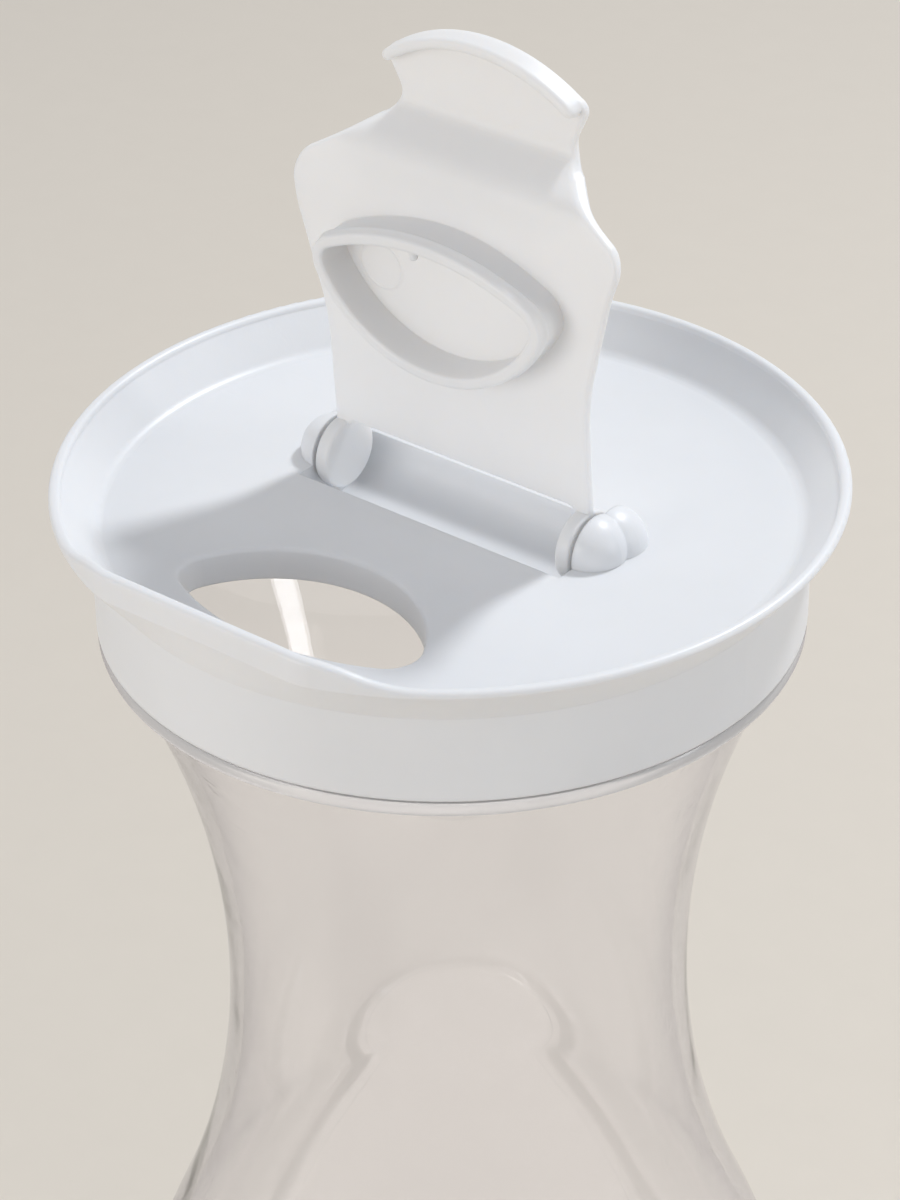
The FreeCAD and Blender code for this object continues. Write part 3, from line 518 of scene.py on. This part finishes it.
def makeCarafe():
    turn = [2 * math.pi * number / carafe["turns"] for number in range(carafe["turns"] + 1)]
    ways = [(math.cos(angle), math.sin(angle), 0) for angle in turn]
    path = pathObject("carafe path", [(0, 0, 0)] * len(turn), ways, [1.0] * len(turn))
    shell = led("carafeShell", carafeProfile(carafe), path, carafePlastic)
    softShaded(shell, 35)
    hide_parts("carafe")
    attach(shell, "carafe")
    return shell


makeCarafe()
print("carafe made")


# ---- lid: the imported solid, with softened edges from its material

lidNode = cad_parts["lid"]
for slotNumber in range(len(lidNode.material_slots)):
    lidNode.material_slots[slotNumber].material = lidPlastic
print("lid dressed")


# ---- flap: plate with its plug ring, thumb tab and hinge arms

flap = dict(
    thickness=1.4, halfWidth=20.9, notchHalfWidth=18.9, notchReach=5.2, notchCorner=1.5, sideReach=17,
    sideCurve=34.3, sideTurn=15.2, shoulder=(25.4, -39.2), shoulderCurve=3.9, shoulderEnd=(24.0, -43.7),
    slant=(15.9, -48.5), waistCurve=3.2, waist=(13.95, -53), tabSide=(15.4, -55.9), tabCorner=1.8,
    tabEnd=(14.3, -58), tabReach=62.5, edgeRound=0.42,
    bendFrom=30.1, bendTo=54, bendStep=0.35,
    ringGap=0.5, ringWall=1.6, ringHeight=5.2, ringRound=0.45, bead=0.15, beadRise=1.2, beadHeight=0.8,
    ridgeWidth=1.6, ridgeDepth=2.6, ridgeRound=0.7, armRadius=4.9, armProud=0.03, pinRadius=1.5, pinReach=24.6,
    nub=(-1.6, -38.4, -4.55), nubRadius=0.6, nubLength=1.9,
    hingeY=2.3, hingeHeight=247.0, openAngle=86.5)
hole = dict(reach=32.3, halfWidth=18.7, back=12.6, front=8.35, backCurve=20.5, corner=4.5)


def flapOutline(f):
    sideEnd = (f["halfWidth"] + f["sideCurve"] * (1 - math.cos(math.radians(f["sideTurn"]))),
               -f["sideReach"] - f["sideCurve"] * math.sin(math.radians(f["sideTurn"])))
    bulge = f["tabReach"] + f["tabEnd"][1]
    endCurve = (f["tabEnd"][0] ** 2 + bulge ** 2) / (2 * bulge)
    notch, reach, corner = f["notchHalfWidth"], -f["notchReach"], f["notchCorner"]
    right = [
        (notch - corner, reach, corner, 1), (notch, reach + corner),
        (notch, 0.8), (f["halfWidth"], 0.8),
        (f["halfWidth"], -f["sideReach"], f["sideCurve"], 1), sideEnd,
        (*f["shoulder"], f["shoulderCurve"], -1), f["shoulderEnd"],
        (*f["slant"], f["waistCurve"], 1), f["waist"],
        (*f["tabSide"], f["tabCorner"], -1), (*f["tabEnd"], endCurve, -1)]
    edges = [corner[2:] for corner in right]
    left = [(-corner[0], corner[1]) + (edges[number - 1] if number else ())
            for number, corner in enumerate(right)]
    return outlinePoints(right + left[::-1], 0.35)[::-1], endCurve


def heightAlong(corners, step=0.15):
    # rounds a polyline (y, z, radius) and returns a function of the distance from the hinge
    points = []
    for number, corner in enumerate(corners):
        here = Vector(corner[:2])
        if len(corner) == 2:
            points.append(here)
            continue
        before, after = Vector(corners[number - 1][:2]), Vector(corners[number + 1][:2])
        one, two = (here - before).normalized(), (after - here).normalized()
        turn = one.angle_signed(two)
        back = corner[2] * math.tan(abs(turn) / 2)
        first, last = here - one * back, here + two * back
        count = max(4, int(abs(turn) * corner[2] / step))
        for part in range(count + 1):
            share = part / count
            points.append((first * (1 - share) + here * share) * (1 - share)
                          + (here * (1 - share) + last * share) * share)

    def height(distance):
        for one, two in zip(points, points[1:]):
            if one.x <= distance <= two.x:
                share = (distance - one.x) / max(two.x - one.x, 1e-9)
                return one.y + (two.y - one.y) * share
        return points[-1].y if distance > points[-1].x else points[0].y
    return height


plateUnder = heightAlong([(-10, 0), (38, 0, 15.4), (46.9, 3.2, 5.4), (50.3, 9.2, 2.4), (70, 9.2)])
plateOver = heightAlong([(-10, 1.4), (37.76, 1.4, 14), (45.9, 4.27, 4), (49.5, 10.6, 3.8), (70, 10.6)])


def flapPlate(f):
    outline, endCurve = flapOutline(f)
    edge, thick = f["edgeRound"], f["thickness"]
    loops = []
    for part in range(5):
        angle = math.pi / 2 * part / 4
        loops.append((edge * (math.sin(angle) - 1), edge * (1 - math.cos(angle))))
    loops += [(grow, thick - rise) for grow, rise in loops[::-1]]
    work = bmesh.new()
    rows = []
    for grow, height in loops:
        rows.append([work.verts.new((point.x, point.y, height)) for point in grown(outline, grow)])
    for low, high in zip(rows, rows[1:]):
        for number in range(len(low)):
            following = (number + 1) % len(low)
            work.faces.new((low[number], low[following], high[following], high[number]))
    for row, way in ((rows[0], -1), (rows[-1], 1)):
        flat = [vertex.co.xy for vertex in row]
        for triangle in delaunay_2d_cdt(flat, [], [list(range(len(flat)))], 1, 1e-6)[2]:
            work.faces.new([row[number] for number in triangle[::way]])
    bmesh.ops.recalc_face_normals(work, faces=work.faces)
    distance = f["bendFrom"]
    while distance < f["bendTo"]:
        bmesh.ops.bisect_plane(work, geom=work.verts[:] + work.edges[:] + work.faces[:],
                               plane_co=(0, -distance, 0), plane_no=(0, 1, 0), dist=1e-5)
        distance += f["bendStep"]
    for vertex in work.verts:
        under, over = plateUnder(-vertex.co.y), plateOver(-vertex.co.y)
        vertex.co.z = under + vertex.co.z / thick * (over - under)
    mesh = bpy.data.meshes.new("flapPlate")
    work.to_mesh(mesh)
    work.free()
    mesh.transform(Matrix.Scale(mm, 4))
    return meshObject("flapPlate", mesh, flapPlastic), endCurve


def ovalPoints(grow, step=0.35):
    # the pour hole's outline, anticlockwise, grown by grow, about the hole's own middle
    h = hole
    endX = h["halfWidth"] - h["corner"]
    endY = math.sqrt((h["backCurve"] - h["corner"]) ** 2 - endX ** 2) - h["backCurve"] + h["back"]
    frontStep = h["front"] + endY
    frontCurve = (endX ** 2 + frontStep ** 2 - h["corner"] ** 2) / (2 * (frontStep - h["corner"]))
    backSine, frontSine = endX / (h["backCurve"] - h["corner"]), endX / (frontCurve - h["corner"])
    backCosine, frontCosine = math.sqrt(1 - backSine ** 2), math.sqrt(1 - frontSine ** 2)
    corner = h["corner"] + grow
    backX, backY = endX + corner * backSine, endY + corner * backCosine
    frontX, frontY = endX + corner * frontSine, endY - corner * frontCosine
    return outlinePoints([
        (-backX, backY, corner, 1), (-frontX, frontY, frontCurve + grow, 1),
        (frontX, frontY, corner, 1), (backX, backY, h["backCurve"] + grow, 1)], step)


def flapRing(f):
    outline = ovalPoints(-f["ringGap"])
    outline.append(outline[0])
    ways = []
    for number, point in enumerate(outline[:-1]):
        along = outline[number + 1] - outline[number - 1 if number else -2]
        ways.append((along.y, -along.x, 0))
    ways.append(ways[0])
    ways = [Vector(way).normalized() for way in ways]
    path = pathObject("ring path", [(p.x, p.y - hole["reach"], 0) for p in outline], ways, [1.0] * len(outline))
    wall, low, high, bend = f["ringWall"], -f["ringHeight"], 1.0, f["ringRound"]
    bead, rise, tall = f["bead"], f["beadRise"], f["beadHeight"]
    section = outlinePoints([
        (-wall, high), (-wall, low + bend, bend, 1), (-wall + bend, low), (-bend, low, bend, 1),
        (0, low + bend), (0, low + rise - 0.15), (bead, low + rise + 0.1, bead, 1),
        (bead, low + rise + tall - 0.1), (0, low + rise + tall + 0.15), (0, high)], 0.1)
    return led("flapRing", [(p.x, p.y) for p in section] + [(-wall, high)], path, flapPlastic)


def flapRidge(f, endCurve):
    # a rounded lip that follows the tab's end and dies away at its corners
    middle = endCurve - f["ridgeWidth"] / 2
    centreY = endCurve - f["tabReach"]
    reach = math.asin((f["tabSide"][0] - 0.35) / middle)
    count = 72
    angles = [-reach + 2 * reach * number / count for number in range(count + 1)]
    ways = [(math.sin(angle), -math.cos(angle), 0) for angle in angles]
    depth = f["ridgeDepth"]
    level = plateUnder(f["tabReach"]) + 0.5 - depth / 2
    places = [(way[0] * middle, centreY + way[1] * middle, level) for way in ways]
    ends = [math.sqrt(max(0, 1 - (1 - min(1, min(number, count - number) / 3)) ** 2))
            for number in range(count + 1)]
    path = pathObject("ridge path", places, ways, ends)
    half, bend, tall = f["ridgeWidth"] / 2, f["ridgeRound"], depth / 2 + 0.5
    section = outlinePoints([
        (-half, tall), (-half, -tall + bend + 0.5, bend, 1), (-half + bend, -tall + 0.5),
        (half - bend, -tall + 0.5, bend, 1), (half, -tall + bend + 0.5), (half, tall)], 0.12)
    return led("flapRidge", [(p.x, p.y) for p in section] + [(-half, tall)], path, flapPlastic)


def roundBar(name, radius, start, stop, edge, count=96):
    # a bar along X with rounded rims
    half = (stop - start) / 2
    section = [(0, -half), (radius - edge, -half)]
    section += [(radius - edge + edge * math.sin(a), -half + edge - edge * math.cos(a))
                for a in (math.pi / 8, math.pi / 4, 3 * math.pi / 8)]
    section += [(radius, -half + edge)]
    section += [(x, -z) for x, z in section[::-1]]
    ways = [(math.cos(2 * math.pi * n / count), math.sin(2 * math.pi * n / count), 0) for n in range(count + 1)]
    path = pathObject(name + " path", [(0, 0, 0)] * (count + 1), ways, [1.0] * (count + 1))
    bar = led(name, section, path, flapPlastic)
    work = bmesh.new()
    work.from_mesh(bar.data)
    bmesh.ops.dissolve_limit(work, angle_limit=math.radians(0.5), verts=work.verts, edges=work.edges)
    work.to_mesh(bar.data)
    work.free()
    place = Matrix.Translation(((start + half) * mm, 0, 0)) @ Matrix.Rotation(math.pi / 2, 4, "Y")
    bar.data.transform(place @ Matrix.Rotation(math.radians(1.3), 4, "Z"))
    return bar


def makeFlap():
    plate, endCurve = flapPlate(flap)
    nub = roundBar("flapNub", flap["nubRadius"], -flap["nubLength"] / 2, flap["nubLength"] / 2, 0.3, 24)
    nub.data.transform(Matrix.Translation(Vector(flap["nub"]) * mm) @ Matrix.Rotation(math.pi / 2, 4, "Z"))
    united(plate, [flapRidge(flap, endCurve), united(flapRing(flap), [nub])])
    for sign in (-1, 1):
        inner, outer = flap["notchHalfWidth"] - flap["armProud"], flap["halfWidth"] + flap["armProud"]
        start, stop = sorted((sign * inner, sign * outer))
        arm = roundBar("flapArm", flap["armRadius"], start, stop, 0.35)
        start, stop = sorted((sign * (outer - 0.6), sign * flap["pinReach"]))
        united(arm, [roundBar("flapPin", flap["pinRadius"], start, stop, 0.3, 40)])
        united(plate, [arm])
    print("flap volume", volumeOf(plate))
    plate.name = "flapBody"
    turn = Matrix.Rotation(math.radians(-flap["openAngle"]), 4, "X")
    plate.data.transform(Matrix.Translation((0, flap["hingeY"] * mm, flap["hingeHeight"] * mm)) @ turn)
    closedUp(plate, 0.002)
    softShaded(plate, 35)
    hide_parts("flap")
    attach(plate, "flap")
    print("flap made", len(plate.data.polygons))


makeFlap()


# ---- floor, camera and light

stageLook = dict(lampTarget=0.245, floorColour=(0.70, 0.645, 0.565), worldColour=(0.93, 0.95, 1.0),
                 backdropColour=(0.70, 0.675, 0.63), worldStrength=0.55)


def makeFloor():
    material, tree, shader, output, place = newMaterial("floor paper")
    fibre = noise(tree, place, 90, 5, 0.6)
    tree.links.new(colourBetween(tree, fibre, stageLook["floorColour"],
                                 [value * 0.97 for value in stageLook["floorColour"]]), shader.inputs["Base Color"])
    shader.inputs["Roughness"].default_value = 0.8
    work = bmesh.new()
    bmesh.ops.create_grid(work, x_segments=1, y_segments=1, size=4)
    mesh = bpy.data.meshes.new("floor")
    work.to_mesh(mesh)
    work.free()
    meshObject("floor", mesh, material)


def makeWorld():
    world = bpy.data.worlds.new("studio")
    world.use_nodes = True
    # soft light for the object; what is seen directly, mirrored or through the clear wall is plain and pale
    tree = world.node_tree
    light = tree.nodes["Background"]
    light.inputs["Color"].default_value = (*stageLook["worldColour"], 1)
    light.inputs["Strength"].default_value = stageLook["worldStrength"]
    seen = tree.nodes.new("ShaderNodeBackground")
    seen.inputs["Color"].default_value = (*stageLook["backdropColour"], 1)
    path = tree.nodes.new("ShaderNodeLightPath")
    shown = shaderMaths(tree, "MAXIMUM", path.outputs["Is Camera Ray"], path.outputs["Is Glossy Ray"])
    shown = shaderMaths(tree, "MAXIMUM", shown, path.outputs["Is Transmission Ray"])
    mix = tree.nodes.new("ShaderNodeMixShader")
    tree.links.new(shown, mix.inputs[0])
    tree.links.new(light.outputs[0], mix.inputs[1])
    tree.links.new(seen.outputs[0], mix.inputs[2])
    tree.links.new(mix.outputs[0], tree.nodes["World Output"].inputs["Surface"])
    bpy.context.scene.world = world


def areaLamp(name, way, distance, size, power, colour, tall=None):
    light = bpy.data.lights.new(name, "AREA")
    light.shape = "RECTANGLE" if tall else "DISK"
    light.size = size
    if tall:
        light.size_y = tall
    light.energy = power
    light.color = colour
    lamp = bpy.data.objects.new(name, light)
    bpy.context.scene.collection.objects.link(lamp)
    towards = Vector(way).normalized()
    lamp.location = Vector((0, 0, stageLook["lampTarget"])) + towards * distance
    lamp.rotation_mode = "QUATERNION"
    lamp.rotation_quaternion = (-towards).to_track_quat("-Z", "Y")
    lamp.visible_camera = False


def makeCamera():
    data = bpy.data.cameras.new("camera")
    data.sensor_width = 36
    data.lens = 116.05
    camera = bpy.data.objects.new("camera", data)
    bpy.context.scene.collection.objects.link(camera)
    forward = Vector((-0.5307, 0.6559, -0.5369)).normalized()
    right = Vector((0.7832, 0.6216, -0.0147))
    right = (right - forward * right.dot(forward)).normalized()
    up = right.cross(forward)
    turn = Matrix((right, up, -forward)).transposed()
    camera.matrix_world = Matrix.Translation(Vector((271.6, -336.1, 507.1)) * mm) @ turn.to_4x4()
    bpy.context.scene.camera = camera


makeFloor()
makeWorld()
areaLamp("window", (0.13, 0.78, 1.0), 1.3, 0.16, 9.5, (0.93, 0.96, 1.0))
areaLamp("fill", (-0.25, -1.0, 0.2), 1.4, 0.8, 6.5, (1.0, 0.965, 0.92))
areaLamp("side", (1.0, 0.35, 0.1), 1.1, 0.2, 2.5, (0.95, 0.97, 1.0), 0.9)
makeCamera()
bpy.context.scene.view_settings.view_transform = "Standard"
